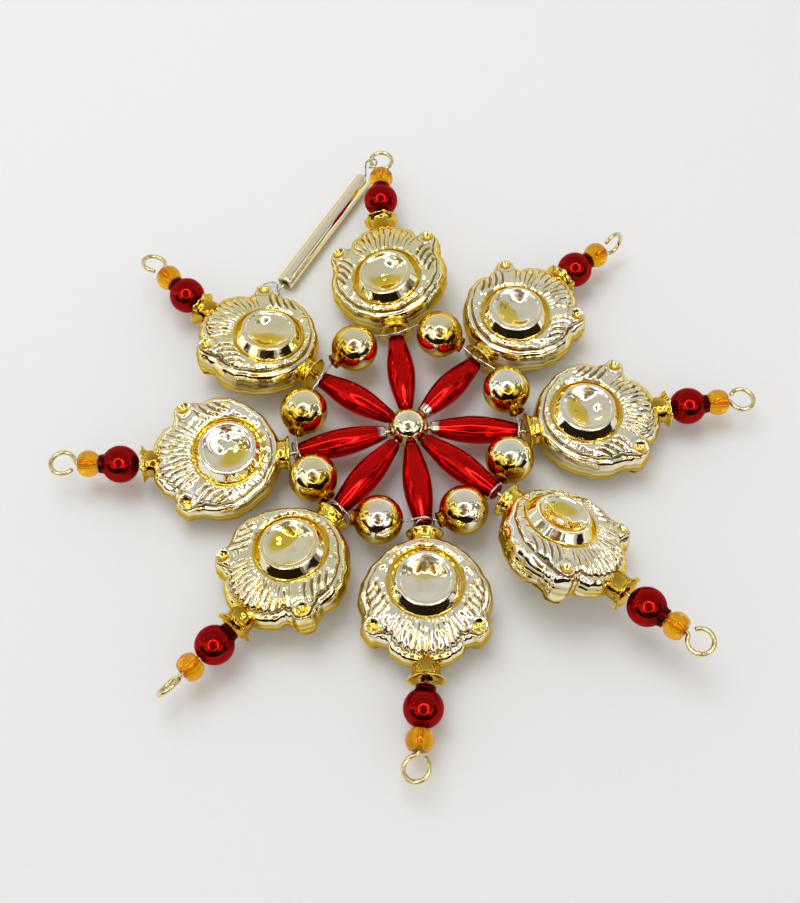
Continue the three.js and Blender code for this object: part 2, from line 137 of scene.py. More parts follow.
def calc(tree, operation, *values):
    node = tree.nodes.new("ShaderNodeMath")
    node.operation = operation
    for socket, value in zip(node.inputs, values):
        fill(tree, socket, value)
    return node.outputs[0]


def rise(tree, value, low, high):
    """0 below low, 1 above high, smooth between."""
    node = wire_up(tree, "ShaderNodeMapRange", {"interpolation_type": "SMOOTHSTEP"}, Value=value)
    node.inputs["From Min"].default_value = low
    node.inputs["From Max"].default_value = high
    return node.outputs["Result"]


def blend_colour(tree, share, low, high):
    """The low colour where share is 0 and the high one where it is 1. The numbers are the colour sockets."""
    node = tree.nodes.new("ShaderNodeMix")
    node.data_type = "RGBA"
    fill(tree, node.inputs[0], share)
    fill(tree, node.inputs[6], low)
    fill(tree, node.inputs[7], high)
    return node.outputs[2]


back_cloth_low = (0.62, 0.61, 0.59, 1)
back_cloth_high = (0.53, 0.52, 0.5, 1)
bright_hem = (1.5, 1.48, 1.4, 1)
front_fold = (0.22, 0.2, 0.15, 1)
front_cloth_lit = (1.25, 1.24, 1.2, 1)
dark_room = (0.014, 0.008, 0.003, 1)
dark_threshold = (0.02, 0.011, 0.004, 1)
warm_dark = (0.15, 0.07, 0.02, 1)
warm_light = (0.52, 0.34, 0.2, 1)
lamp_way = (0, -0.4, 0.917)
lamp_outer = (30.3, 29.3)
lamp_inner = (28, 27)

tent = bpy.data.worlds.new("tent")
tent.use_nodes = True
scene.world = tent
sky = tent.node_tree
sky.nodes.clear()
direction = wire_up(sky, "ShaderNodeTexCoord").outputs["Generated"]
axes = wire_up(sky, "ShaderNodeSeparateXYZ", Vector=direction)
side_way, back_way, up_way = axes.outputs
sideways = calc(sky, "ABSOLUTE", side_way)
forward = calc(sky, "MULTIPLY", back_way, -1.0)
folds = wire_up(sky, "ShaderNodeTexNoise", Vector=direction, Scale=2.6, Detail=2.0, Distortion=1.1)
folds = folds.outputs["Fac"]

back_cloth = blend_colour(sky, rise(sky, up_way, 0.3, 0.9), back_cloth_low, back_cloth_high)
hem = calc(sky, "COMPARE", up_way, 0.2, 0.028)
back_cloth = blend_colour(sky, hem, back_cloth, bright_hem)
front_cloth = blend_colour(sky, rise(sky, folds, 0.42, 0.56), front_fold, front_cloth_lit)
lean = calc(sky, "MULTIPLY_ADD", sideways, 0.5, forward)
cloth = blend_colour(sky, rise(sky, lean, -0.02, 0.07), back_cloth, front_cloth)

low_front = calc(sky, "MULTIPLY", rise(sky, up_way, 0.44, 0.34), rise(sky, forward, 0.1, 0.2))
seen = blend_colour(sky, low_front, cloth, dark_threshold)
warm_room = blend_colour(sky, rise(sky, folds, 0.42, 0.5), warm_dark, warm_light)
room = blend_colour(sky, rise(sky, up_way, 0.5, 0.72), dark_room, warm_room)
half_width = calc(sky, "MULTIPLY_ADD", rise(sky, up_way, 0.72, 0.35), 0.26, 0.18)
opening = calc(sky, "LESS_THAN", sideways, half_width)
opening = calc(sky, "MULTIPLY", rise(sky, forward, 0.14, 0.2), opening)
seen = blend_colour(sky, opening, seen, room)

lamp_reach = wire_up(sky, "ShaderNodeVectorMath", {"operation": "DOT_PRODUCT"}, i0=direction, i1=lamp_way)
lamp_reach = lamp_reach.outputs["Value"]
inside, hole = [
    rise(sky, lamp_reach, math.cos(math.radians(low)), math.cos(math.radians(high)))
    for low, high in (lamp_outer, lamp_inner)
]
lamp = calc(sky, "MULTIPLY", inside, calc(sky, "SUBTRACT", 1.0, hole))
lamp_light = blend_colour(sky, rise(sky, forward, 0.75, 0.4), (5, 4.9, 4.8, 1), (16, 15.8, 15.5, 1))
seen = blend_colour(sky, lamp, seen, lamp_light)

light_path = wire_up(sky, "ShaderNodeLightPath").outputs
glow = wire_up(sky, "ShaderNodeBackground", Color=seen, Strength=1.0).outputs[0]
even = wire_up(sky, "ShaderNodeBackground", Color=(0.7, 0.665, 0.63, 1), Strength=1.0).outputs[0]
white = wire_up(sky, "ShaderNodeBackground", Color=(0.84, 0.84, 0.83, 1), Strength=1.0).outputs[0]
lit = wire_up(sky, "ShaderNodeMixShader", i0=light_path["Is Glossy Ray"], i1=even, i2=glow).outputs[0]
shown = wire_up(sky, "ShaderNodeMixShader", i0=light_path["Is Camera Ray"], i1=lit, i2=white).outputs[0]
wire_up(sky, "ShaderNodeOutputWorld", Surface=shown)

lamp_data = bpy.data.lights.new("round_lamp", "AREA")
lamp_data.shape = "DISK"
lamp_data.size = 0.45
lamp_data.energy = 1.75
lamp_data.color = (0.93, 0.98, 1.03)
round_lamp = bpy.data.objects.new("round_lamp", lamp_data)
scene.collection.objects.link(round_lamp)
round_lamp.location = (-0.13, 0.16, 0.62)
round_lamp.rotation_euler = (-round_lamp.location).to_track_quat("-Z", "Y").to_euler()
round_lamp.visible_glossy = False

# ---- Shell beads ----
# Flat shell-shaped beads of thin glass, blown into a two-part mould, silvered inside and lacquered pale gold.
# Each face has a round boss with a dish, a fan of flutes, two eyes and veined leaf lobes. The mould seam runs
# round the edge. The glass ends in a shoulder at the hub side and a ragged, flared collar at the other.

flute_pitch = 6.0
fan_reach = 39.0
lobe_bearing = 49
eye_place = (6.9, 7.9)
eye_reach = 1.85
eye_rim = 1.25
eye_bowl = 1.15
groove = 5.7
dish_reach = 3.75
dent_distance = 1.7
dent_width = 1.35
shell_rolls = [-9.6, 0, 0, -27, 0, 7.4, -9.2, 8.7]
collar_reaches = [14.8, 13.1, 14.2, 14.4, 14.4, 14.2, 14, 14.4]
yellow_shells = (1, 6, 8)
yellow_ways = [-90, -150, -160, 100, 90, 130, -45, -90]
two_dent_shells = (1, 6)
pale_dish_shell = 5
shell_outline = np.array([
    (0, 12.5), (14, 12.3), (26, 11.8), (34, 10.9), (39, 11.2), (44, 12.05), (54, 12.0), (60, 11.1),
    (66, 10.45), (77, 10.45), (90, 10), (105, 9.3), (125, 8.7), (150, 8.35), (180, 8.3),
])
boss_profile = np.array([
    (0, 4.16), (1.6, 4.22), (2.8, 4.4), (3.45, 4.56), (3.76, 4.68), (3.86, 4.8), (4.0, 4.87), (4.3, 4.86),
    (4.44, 4.8), (4.55, 4.66), (4.75, 4.4), (4.95, 4.14), (5.15, 3.88), (5.35, 3.64), (5.5, 3.5),
    (5.65, 3.45), (5.9, 3.48), (6.3, 3.53), (8, 3.42), (9.5, 3.18), (11, 2.88), (13, 2.8),
])


def ease(x):
    x = np.clip(x, 0, 1)
    return x * x * (3 - 2 * x)


def step_between(x, low, high):
    return ease((x - low) / (high - low))


def hump(distance, width):
    return np.exp(-((distance / width) ** 2))


def outline_radius(angle):
    """How far the mould seam lies from the middle at a bearing from the outer end."""
    turn = np.abs(angle)
    after = np.clip(np.searchsorted(shell_outline[:, 0], turn), 1, len(shell_outline) - 1)
    before = after - 1
    share = (turn - shell_outline[before, 0]) / (shell_outline[after, 0] - shell_outline[before, 0])
    return shell_outline[before, 1] + ease(share) * (shell_outline[after, 1] - shell_outline[before, 1])


def face_inset(turn):
    """How far the face's edge lies inside the seam: little at the eyes' lobes, more elsewhere."""
    return 1.42 - 0.95 * hump(turn - lobe_bearing, 8.5)


def dished_boss(x, y, angle, radius, pressing, phase, yellow_way):
    """Height of the boss with its dented dish, and the lacquer pooled in its groove and in one side of it."""
    dish = np.clip(1 - radius / dish_reach, 0, 1)
    height = np.interp(radius, *boss_profile.T)
    for k in range(2 if pressing in two_dent_shells else 3):
        way = phase + 2.2 * k
        from_dent = np.hypot(x - dent_distance * math.cos(way), y - dent_distance * math.sin(way))
        height = height - (0.5 - 0.1 * k) * hump(from_dent, dent_width) * ease(dish * 2.4)
    toward_yellow = 0.5 + 0.5 * np.cos(np.radians(angle - yellow_way))
    pool = 0.3 if pressing == pale_dish_shell else 0.52
    lacquer = 0.7 * hump(radius - groove + 0.05, 0.25)
    lacquer = lacquer + pool * ease(dish * 3) * step_between(toward_yellow, 0.4, 0.85)
    return height, lacquer


def flute_valleys(angle, radius, phase):
    """Depth of the valleys between the flutes, which wander a little, and the painted shade in their bottoms,
    broken into streaks.
    """
    turn = np.abs(angle)
    in_fan = step_between(fan_reach + 1.2 - turn, 0, 1.6)
    bent = turn + 0.5 * np.sin(1.1 * radius + 0.31 * angle + phase)
    bent = bent + 0.35 * np.sin(2.3 * radius + 0.9 * angle)
    across = np.abs((bent + flute_pitch / 2) % flute_pitch - flute_pitch / 2) / (flute_pitch / 2)
    valley = 0.55 * across ** 2 + 0.45 * across ** 6
    wander = 0.8 + 0.3 * np.sin(0.9 * angle + 3 * phase + 1.1 * radius)
    wander = wander + 0.2 * np.sin(0.37 * angle - 2.1 * radius)
    depth = 0.6 * np.clip(radius / 11.5, 0, 1.05) * wander
    depth = depth * step_between(radius, groove + 0.1, groove + 0.8)
    streak = 0.35 + 0.65 * step_between(np.sin(0.8 * angle + 1.7 * radius + 2 * phase), -0.2, 0.6)
    # Painted shade along the valley bottoms, past the groove.
    dark = 0.95 * step_between(radius, groove + 0.4, groove + 1.3) * step_between(across, 0.66, 1.0)
    return in_fan * depth * valley, in_fan * dark * streak


def leaf_veins(x, aside):
    """Relief of the four bowed veins on each leaf lobe, with a bank on both sides, and the painted shade
    along them.
    """
    relief = 0 * x
    dark = 0 * x
    for i in range(4):
        start = np.array((2.3 + 1.05 * i, 9.1 - 0.45 * i))
        end = np.array((-0.3 + 1.15 * i, 7.2 - 0.55 * i))
        length = np.hypot(*(end - start))
        way = (end - start) / length
        along = (x - start[0]) * way[0] + (aside - start[1]) * way[1]
        bow = 0.25 * np.sin(np.pi * np.clip(along / length, 0, 1))
        off = (x - start[0]) * way[1] - (aside - start[1]) * way[0] + bow
        there = step_between(along, -0.3, 0.3) * step_between(length - along, -0.3, 0.3)
        vein = hump(off, 0.15) * there
        bank = hump(np.abs(off) - 0.42, 0.2) * there
        relief = relief - 0.27 * vein + 0.13 * bank
        dark = np.maximum(dark, vein)
    return relief, dark


def crumple(x, y, phase):
    """The soft unevenness of glass that was pressed while it cooled."""
    broad = np.sin(2.1 * x + 2.1 * phase + np.sin(1.7 * y)) * np.sin(1.9 * y - phase)
    fine = np.sin(4.3 * x - phase + 1.3 * np.sin(2.2 * y)) * np.sin(3.7 * y + 2 * phase)
    return 0.06 * broad + 0.03 * fine


def shell_face(angle, radius, pressing, yellow_way):
    """Height of the upper face, how much lacquer lies there, and how much painted shade lies in its creases,
    from 0 to 1.
    """
    turn = np.abs(angle)
    x = radius * np.cos(np.radians(angle))
    y = radius * np.sin(np.radians(angle))
    aside = np.abs(y)
    phase = 2 + 1.3 * (pressing - 5)
    height, lacquer = dished_boss(x, y, angle, radius, pressing, phase, yellow_way)
    face = step_between(radius, groove, groove + 0.5)
    edge = outline_radius(angle) - face_inset(turn)
    run = np.clip((radius - groove) / (edge - groove), 0, 1)
    past_fan = step_between(turn, 39, 59)
    belly = 0.1 * past_fan + 0.12 * np.sin(np.pi * run) - 0.3 * run ** 2 * (1 - 0.6 * past_fan)
    # The flute bottoms and the veins carry painted shade.
    valley, crease = flute_valleys(angle, radius, phase)
    veins, vein_shade = leaf_veins(x, aside)
    height = height + face * (belly - valley + veins)
    crease = np.maximum(crease, vein_shade * face)

    from_eye = np.hypot(x - eye_place[0], aside - eye_place[1])
    eye = step_between(eye_reach - from_eye, 0, 0.45)
    eye_height = 3.0 + 0.42 * hump(from_eye - eye_rim, 0.28)
    height = height * (1 - eye) + eye_height * eye - 0.6 * ease((eye_bowl - from_eye) / eye_bowl)
    lacquer = np.maximum(lacquer * (1 - eye), 0.4 * step_between(1.1 - from_eye, 0, 0.3))
    # A thin ring of painted shade lies round the eye's edge.
    crease = np.maximum(crease * (1 - eye), 0.7 * hump(from_eye - 1.78, 0.1) * face)

    uneven = crumple(x, y, phase) * face * (1 - eye) * (1 + 1.2 * step_between(turn, 75, 105))
    return height + uneven, np.clip(lacquer, 0, 1), np.clip(crease, 0, 1)


def grid_mesh(name, rows, closed_rows=False, **marks):
    """A mesh through rows of points, each row closed on itself, with numbers stored at the points."""
    rows = np.asarray(rows, dtype=float)
    count, around = rows.shape[:2]
    index = np.arange(count * around).reshape(count, around)
    upper = index if closed_rows else index[:-1]
    lower = np.roll(index, -1, axis=0) if closed_rows else index[1:]
    faces = np.stack([upper, np.roll(upper, -1, 1), np.roll(lower, -1, 1), lower], axis=-1)
    mesh = bpy.data.meshes.new(name)
    mesh.vertices.add(count * around)
    mesh.vertices.foreach_set("co", (rows * MM).ravel())
    mesh.loops.add(faces.size)
    mesh.loops.foreach_set("vertex_index", faces.ravel())
    mesh.polygons.add(faces.size // 4)
    mesh.polygons.foreach_set("loop_start", np.arange(0, faces.size, 4))
    for mark, values in marks.items():
        store = mesh.attributes.new(mark, "FLOAT", "POINT")
        store.data.foreach_set("value", np.asarray(values, dtype=float).ravel())
    mesh.update(calc_edges=True)
    mesh.validate()
    mesh.shade_smooth()
    return mesh


def turned_rows(profile, sides):
    """Rows of points about +X from (distance along, radius) pairs."""
    angle = np.linspace(0, 2 * np.pi, sides, endpoint=False)
    profile = np.asarray(profile, dtype=float)
    along = np.repeat(profile[:, :1], sides, axis=1)
    return np.stack([along, profile[:, 1:2] * np.cos(angle), profile[:, 1:2] * np.sin(angle)], axis=-1)


def shell_rows(pressing, yellow_way):
    """Both faces and the wall between them as rows of points, finer in the fan, with their two marks."""
    angle = np.concatenate([np.arange(-42, 42, 0.5), np.arange(42, 318, 1.2)])
    angle = np.where(angle > 180, angle - 360, angle)
    turn = np.abs(angle)
    rows, lacquer, crease = [], [], []
    in_fan = step_between(fan_reach + 1 - turn, 0, 1.6)
    waves = 0.05 * np.sin(np.radians(3 * angle) + pressing)
    waves = waves + 0.05 * np.sin(np.radians(11 * angle) + 2 * pressing) * step_between(turn, 55, 70)
    outline = outline_radius(angle) + waves
    inset = face_inset(turn) - 0.14 * np.cos(2 * np.pi * angle / flute_pitch) * in_fan
    edge = outline - inset

    def add(radius, height, gold, dark):
        bearing = np.radians(angle)
        rows.append(np.stack([radius * np.cos(bearing), radius * np.sin(bearing), height], axis=-1))
        lacquer.append(np.broadcast_to(gold, angle.shape))
        crease.append(np.broadcast_to(dark, angle.shape))

    for radius in np.concatenate([np.linspace(0.02, 3.3, 16), np.linspace(3.42, groove, 30)]):
        full = np.full_like(angle, radius)
        add(full, *shell_face(angle, full, pressing, yellow_way))
    for share in np.linspace(0.04, 1, 26):
        radius = groove + share * (edge - groove)
        height, gold, dark = shell_face(angle, radius, pressing, yellow_way)
        rim = height - 0.3 * step_between(share, 0.88, 1.0) ** 2
        add(radius, rim, gold, dark)
    ledge = 1.95 + 0.55 * hump(turn - lobe_bearing, 9) + 0.8 * step_between(turn, 60, 85)
    # The face's edge and the ledge under it are painted dark as shade, and the wall gets a thin line of
    # painted shade near the seam.
    add(edge + 0.02 * inset, rim - 0.2, 0.2, 1.0)
    add(edge + 0.06 * inset, ledge, 0.2, 0.9)
    for tilt in np.linspace(0, 90, 13):
        out = 0.12 + 0.88 * math.sin(math.radians(tilt))
        height = (ledge + 0.04) * math.cos(math.radians(tilt)) ** 0.9
        seam = 0.07 * hump(tilt - 90, 6) - 0.08 * hump(tilt - 78, 7)
        gold = 0.02 + 0.4 * hump(turn, 22) + 0.3 * step_between(tilt, 65, 90)
        add(edge + out * inset + seam, height, np.clip(gold, 0, 1), 0.6 * hump(tilt - 78, 6))
    top = np.array(rows)
    under = top[::-1][1:] * np.array([1, 1, -1])
    lacquer = np.concatenate([lacquer, lacquer[::-1][1:]])
    crease = np.concatenate([crease, crease[::-1][1:]])
    return np.concatenate([top, under]), lacquer, crease


def join_meshes(name, meshes, material):
    """One piece from one or more meshes that share a material."""
    parts = []
    for mesh in meshes:
        part = bpy.data.objects.new(name, mesh)
        scene.collection.objects.link(part)
        parts.append(part)
    if len(parts) > 1:
        with bpy.context.temp_override(active_object=parts[0], selected_editable_objects=parts):
            bpy.ops.object.join()
    piece = parts[0]
    piece.name = name
    piece.data.name = name
    piece.data.materials.clear()
    piece.data.materials.append(material)
    return piece


def put(mesh, place):
    """Moves a mesh from its own millimetre frame to its place in the star."""
    place = place.copy()
    place.translation *= MM
    mesh.transform(place)
    return mesh


def even_marks(profile, sides, lacquer, crease=0.0):
    """Marks of a turned piece. The lacquer is one number, or rows of the profile and the number at each."""
    if isinstance(lacquer, tuple):
        gold = np.interp(np.arange(len(profile)), *lacquer)
    else:
        gold = np.full(len(profile), lacquer)
    dark = np.full(len(profile), crease)
    return {"lacquer": np.repeat(gold[:, None], sides, 1), "crease": np.repeat(dark[:, None], sides, 1)}


def mirrored_glass(name, pale, yellow, deep, roughness, grain, edge_share):
    """Silvered glass under a coloured lacquer, which is deeper where it has pooled or is seen at a slant, and
    painted dark brown as shade where the painted shade mark lies.
    """
    material = bpy.data.materials.new(name)
    material.use_nodes = True
    tree = material.node_tree
    shader = tree.nodes["Principled BSDF"]
    pooled = wire_up(tree, "ShaderNodeAttribute", {"attribute_name": "lacquer"}).outputs["Fac"]
    crease = wire_up(tree, "ShaderNodeAttribute", {"attribute_name": "crease"}).outputs["Fac"]
    place = wire_up(tree, "ShaderNodeTexCoord").outputs["Object"]
    slant = wire_up(tree, "ShaderNodeLayerWeight", Blend=0.5).outputs["Facing"]
    slant = calc(tree, "MULTIPLY", rise(tree, slant, 0.22, 0.72), edge_share)
    cloud = wire_up(tree, "ShaderNodeTexNoise", Vector=place, Scale=grain, Detail=3.0, Roughness=0.5)
    patchy = calc(tree, "MULTIPLY", rise(tree, cloud.outputs["Fac"], 0.5, 0.72), 0.3)
    amount = calc(tree, "MAXIMUM", calc(tree, "MAXIMUM", pooled, patchy), slant)
    tint = blend_colour(tree, rise(tree, amount, 0.0, 0.5), (*pale, 1), (*yellow, 1))
    tint = blend_colour(tree, rise(tree, amount, 0.5, 1.0), tint, (*deep, 1))
    # Painted shade: the shade mark darkens the tint towards dark brown in creases, at edges and round holes.
    tint = blend_colour(tree, calc(tree, "MULTIPLY", crease, 0.9), tint, (0.07, 0.032, 0.002, 1))
    tree.links.new(tint, shader.inputs["Base Color"])
    speck = wire_up(tree, "ShaderNodeTexNoise", Vector=place, Scale=grain * 6, Detail=3.0)
    dull = rise(tree, speck.outputs["Fac"], 0.35, 0.8)
    tree.links.new(calc(tree, "MULTIPLY_ADD", dull, 0.06, roughness), shader.inputs["Roughness"])
    hammer = wire_up(tree, "ShaderNodeTexNoise", Vector=place, Scale=grain * 2, Detail=1.0)
    depth = calc(tree, "MULTIPLY_ADD", pooled, 0.9, 0.1)
    depth = calc(tree, "MULTIPLY", hammer.outputs["Fac"], depth)
    bump = wire_up(tree, "ShaderNodeBump", Strength=0.5, Distance=0.0004, Height=depth)
    tree.links.new(bump.outputs["Normal"], shader.inputs["Normal"])
    shader.inputs["Metallic"].default_value = 1
    shader.inputs["Specular Tint"].default_value = (0.9, 0.62, 0.2, 1)
    shader.inputs["Coat Weight"].default_value = 0.15
    shader.inputs["Coat Roughness"].default_value = 0.03
    return material


deep_lacquer = (0.42, 0.19, 0.0)
gilt = mirrored_glass("pale_gilt_glass", (0.96, 0.93, 0.76), (0.9, 0.69, 0.12), deep_lacquer, 0.03, 420, 0.5)
yellow_gilt = mirrored_glass(
    "yellow_gilt_glass", (0.95, 0.9, 0.62), (0.89, 0.66, 0.08), deep_lacquer, 0.03, 420, 0.6
)

shoulder = [
    (-7.6, 0.1), (-7.4, 2.5), (-8.2, 2.35), (-8.75, 2.4), (-9.1, 2.7), (-9.45, 3.0), (-9.6, 2.95),
    (-9.65, 2.6), (-9.65, 0.6), (-9.0, 0.58), (-8.0, 0.1),
]
shoulder_sides = 40
shoulder_gold = ([0, 5, 8, 10], [0.7, 0.45, 0.55, 1])
collar_sides = 72
collar_gold = ([0, 5, 7, 9, 10, 13], [0.95, 0.72, 0.5, 0.2, 0.6, 1])
around = np.linspace(0, 2 * np.pi, collar_sides, endpoint=False)

for number in arms:
    shell_at = arm_frame(number, f"shell_bead_{number}")
    shell_way = shell_at.to_3x3() @ Vector((1, 0, 0))
    bearing = math.degrees(math.atan2(shell_way.y, shell_way.x))
    rows, lacquer, crease = shell_rows(number, yellow_ways[number - 1] - bearing)
    body = grid_mesh("shell_body", rows, lacquer=lacquer, crease=crease)
    shoulder_marks = even_marks(shoulder, shoulder_sides, shoulder_gold)
    neck = grid_mesh("shell_shoulder", turned_rows(shoulder, shoulder_sides), **shoulder_marks)
    reach = collar_reaches[number - 1]
    collar = [
        (10.4, 0.1), (10.8, 2.05), (11.8, 2.1), (12.6, 2.15), (reach - 1.3, 2.1), (reach - 1.0, 2.15),
        (reach - 0.6, 2.45), (reach - 0.3, 2.95), (reach - 0.06, 3.08), (reach, 2.95), (reach - 0.12, 2.6),
        (reach - 0.55, 1.9), (reach - 1.3, 0.62), (reach - 2, 0.6),
    ]
    collar_rows = turned_rows(collar, collar_sides)
    ragged = 0.07 * np.sin(7 * around + number) + 0.05 * np.sin(13 * around + 2 * number) - 0.12
    for row, share in ((7, 0.6), (8, 1.4), (9, 1.4), (10, 0.6)):
        collar_rows[row, :, 0] += ragged * share
        collar_rows[row, :, 1:] *= (1 + 0.3 * ragged)[:, None]
    neck_out = grid_mesh("shell_collar", collar_rows, **even_marks(collar, collar_sides, collar_gold))
    glass = yellow_gilt if number in yellow_shells else gilt
    shell = join_meshes(f"shell_{number}", [body, neck, neck_out], glass)
    put(shell.data, shell_at @ Matrix.Rotation(math.radians(shell_rolls[number - 1]), 4, "X"))
    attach(shell, f"shell_bead_{number}")
    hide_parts(f"shell_bead_{number}")

# ---- Hub ball ----
# A small silvered glass ball in the middle, hardly lacquered.
# The eight arm wires go into holes round its side, where the glass edge has deep lacquer and painted shade.

hub_radius = 3.28
hub_sides = 80
hub_socket = [
    (hub_radius - 0.25, 0.62), (hub_radius - 0.06, 0.62), (hub_radius - 0.03, 0.55),
    (hub_radius - 0.03, 0.44), (hub_radius - 0.3, 0.42),
]
socket_sides = 24


def ball_profile(radius, start, end, steps=40):
    """(Distance along, radius) pairs of a ball between two distances from its middle."""
    angle = np.linspace(math.acos(start / radius), math.acos(end / radius), steps)
    return [(radius * math.cos(a), radius * math.sin(a)) for a in angle]


hub_profile = ball_profile(hub_radius, -hub_radius * 0.9999, hub_radius * 0.9999)
hub = grid_mesh("hub_glass", turned_rows(hub_profile, hub_sides), **even_marks(hub_profile, hub_sides, 0.1))
put(hub, Matrix.Translation(hub_centre) @ Matrix.Rotation(math.radians(-90), 4, "Y"))
hub_meshes = [hub]
for number in arms:
    # Deep lacquer and painted shade round each hole.
    socket_marks = even_marks(hub_socket, socket_sides, 0.9, 0.6)
    mesh = grid_mesh("hub_socket", turned_rows(hub_socket, socket_sides), **socket_marks)
    socket_at = arm_frame(number, f"oval_bead_{number}")
    socket_at.translation = hub_centre
    hub_meshes.append(put(mesh, socket_at))
hub_piece = join_meshes("hub_glass", hub_meshes, gilt)
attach(hub_piece, "wires")
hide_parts("hub_ball")

# ---- Gilt balls of the ring ----
# Blown glass balls, silvered and lacquered, threaded on the thin tie wire between the arms.
# One end is a plain hole and the other is the flared, broken-off end of the glass tube it was blown from.
# Lacquer has run together round both ends.

ring_ball_radius = 3.9
ring_ball_sides = 96
ring_neck_lengths = [0.4, 0.7, 0.1, 0.5, 0.5, 0.4, 0.3, 0.6]
ring_neck_sides = [1, 1, 1, 1, 1, -1, -1, -1]
ring_ball_gold = ([0, 2, 12, 19, 30, 38, 46, 54], [1, 1, 0.8, 0.05, 0.05, 0.8, 1, 1])
silvery_balls = (2, 3, 4, 5)
ring_lacquer = (0.4, 0.17, 0.0)
ring_gilt = mirrored_glass(
    "deep_gilt_glass", (0.94, 0.88, 0.58), (0.84, 0.62, 0.08), ring_lacquer, 0.02, 300, 0.7
)
ring_silver = mirrored_glass(
    "silver_gilt_glass", (0.94, 0.93, 0.82), (0.86, 0.66, 0.12), ring_lacquer, 0.02, 300, 0.75
)


def ball_frame(number):
    """Millimetre frame of a ring ball: X along its wire towards the neck, Z up."""
    place, line = seat(f"ring_ball_{number}")
    across = Vector((0, 0, 1)).cross(line).normalized()
    turned_frame = Matrix((line, across, line.cross(across))).transposed().to_4x4()
    return Matrix.Translation(place) @ turned_frame


for number in arms:
    end = ring_ball_radius + ring_neck_lengths[number - 1]
    ball = [
        (-3.3, 0.36), (-3.84, 0.38), *ball_profile(ring_ball_radius, -3.865, 3.55, 44),
        (3.68, 1.42), (3.78, 1.3), (end - 0.12, 1.26), (end, 1.32), (end, 1.2), (end - 0.25, 0.98),
        (end - 1, 0.38), (end - 1.6, 0.36),
    ]
    marks = even_marks(ball, ring_ball_sides, ring_ball_gold)
    mesh = grid_mesh(f"ring_ball_{number}_glass", turned_rows(ball, ring_ball_sides), **marks)
    put(mesh, ball_frame(number))
    glass = ring_silver if number in silvery_balls else ring_gilt
    piece = join_meshes(f"ring_ball_{number}_glass", [mesh], glass)
    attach(piece, f"ring_ball_{number}")
    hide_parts(f"ring_ball_{number}")

# ---- Oval red beads ----
# Long blown beads next to the hub, silvered inside under clear red lacquer. Both ends are painted darker as
# shade, the outer end most. Three have a bare silvery hub end, where the bead was held when it was dipped.

oval_lengths = [13.9, 13.5, 14.5, 15.3, 14.3, 15.25, 14.95, 13.5]
bare_ovals = (2, 3, 7)
bare_reach = 1.25
oval_radius = 2.3
oval_ends = (1.15, 1.35)
oval_sides = 72
bare_silver = (0.62, 0.6, 0.55, 1)


def red_lacquer(name, bright, dark, roughness):
    """Silvered glass under red lacquer. The lacquer mark darkens it: gathered lacquer on the round beads,
    painted shade at the oval ends. The other mark says where it has no lacquer.
    """
    material = bpy.data.materials.new(name)
    material.use_nodes = True
    tree = material.node_tree
    shader = tree.nodes["Principled BSDF"]
    pooled = wire_up(tree, "ShaderNodeAttribute", {"attribute_name": "lacquer"}).outputs["Fac"]
    bare = wire_up(tree, "ShaderNodeAttribute", {"attribute_name": "crease"}).outputs["Fac"]
    place = wire_up(tree, "ShaderNodeTexCoord").outputs["Object"]
    streak = wire_up(tree, "ShaderNodeTexNoise", Vector=place, Scale=330.0, Detail=3.0, Distortion=0.6)
    streak = streak.outputs["Fac"]
    cloudy = calc(tree, "MULTIPLY", rise(tree, streak, 0.45, 0.8), 0.35)
    # Darker where lacquer has gathered on the round beads and where painted shade lies at the ends of the
    # ovals.
    tint = blend_colour(tree, calc(tree, "MAXIMUM", pooled, cloudy), (*bright, 1), (*dark, 1))
    tint = blend_colour(tree, bare, tint, bare_silver)
    tree.links.new(tint, shader.inputs["Base Color"])
    grain = wire_up(tree, "ShaderNodeTexNoise", Vector=place, Scale=1500.0, Detail=2.0).outputs["Fac"]
    tree.links.new(calc(tree, "MULTIPLY_ADD", grain, 0.08, roughness), shader.inputs["Roughness"])
    ripple = wire_up(tree, "ShaderNodeBump", Strength=0.2, Distance=0.0002, Height=streak)
    tree.links.new(ripple.outputs["Normal"], shader.inputs["Normal"])
    shader.inputs["Metallic"].default_value = 0.97
    shader.inputs["Specular Tint"].default_value = (0.8, 0.03, 0.02, 1)
    shader.inputs["Coat Weight"].default_value = 0.1
    shader.inputs["Coat Roughness"].default_value = 0.02
    return material


def oval_thickness(share):
    """Radius of an oval bead at a share of its length from the hub end."""
    belly = max(0, math.sin(math.pi * share)) ** 1.2
    return oval_ends[0] + (oval_ends[1] - oval_ends[0]) * share + (oval_radius - sum(oval_ends) / 2) * belly


red_glass = red_lacquer("red_lacquered_glass", (0.62, 0.003, 0.002), (0.12, 0.0, 0.0), 0.06)

